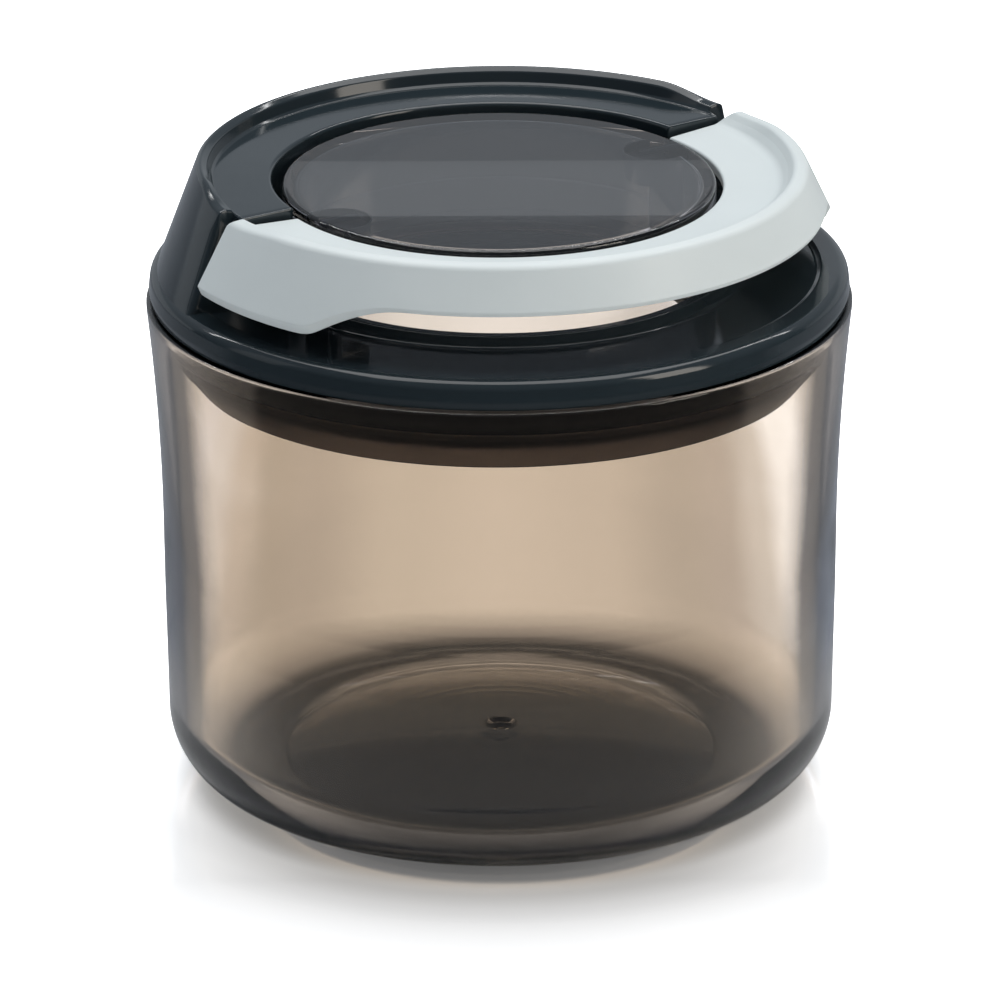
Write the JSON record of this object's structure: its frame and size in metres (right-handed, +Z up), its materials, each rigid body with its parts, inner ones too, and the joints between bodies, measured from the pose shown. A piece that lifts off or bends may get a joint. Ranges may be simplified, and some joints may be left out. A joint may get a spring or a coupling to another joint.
{
  "type": "storage canister",
  "caption": "Round see-through smoke canister with a black lift-out lid, flip-up half-ring lever, clear plunger window and a silicone ring squeezed against the jar wall to seal.",
  "frame": {"origin": "on the floor under the jar's axis", "axes": "+Z up along the jar axis, X along the lever's pivot pins, -Y towards the lever's grip, +Y towards the raised hood"},
  "size_m": [0.124, 0.124, 0.1134],
  "materials": {
    "smoke_jar": "gloss",
    "black_gloss": "gloss",
    "dark_silicone": "satin",
    "smoke_clear": "gloss",
    "smoke_plate": "satin",
    "mint_grey": "satin",
    "pin_steel": "satin"
  },
  "bodies": {
    "jar_body": {"jar": "smoke_jar"},
    "lid_body": {"lid_cover": "black_gloss", "lid_base_ring": "black_gloss", "seal_ring": "dark_silicone"},
    "plunger_body": {"window_cup": "smoke_clear", "press_plate": "smoke_plate", "left_pivot_pin": "pin_steel", "right_pivot_pin": "pin_steel"},
    "lever_body": {"flip_lever": "mint_grey"}
  },
  "joints": [
    {"name": "lid_lift", "type": "slide", "parent": "jar_body", "child": "lid_body", "axis": [0, 0, 1], "range_m": [0, 0.06]},
    {"name": "plunger_drop", "type": "slide", "parent": "lid_body", "child": "plunger_body", "axis": [0, 0, -1], "range_m": [0, 0.003], "deforming": ["seal_ring"]},
    {"name": "lever_flip", "type": "hinge", "parent": "plunger_body", "child": "lever_body", "pos_m": [0, 0, 0.1065], "axis": [-1, 0, 0], "range_deg": [0, 90]}
  ],
  "couplings": [
    {"joint": "plunger_drop", "follows": "lever_flip", "m_per_rad": 0.0019098}
  ]
}
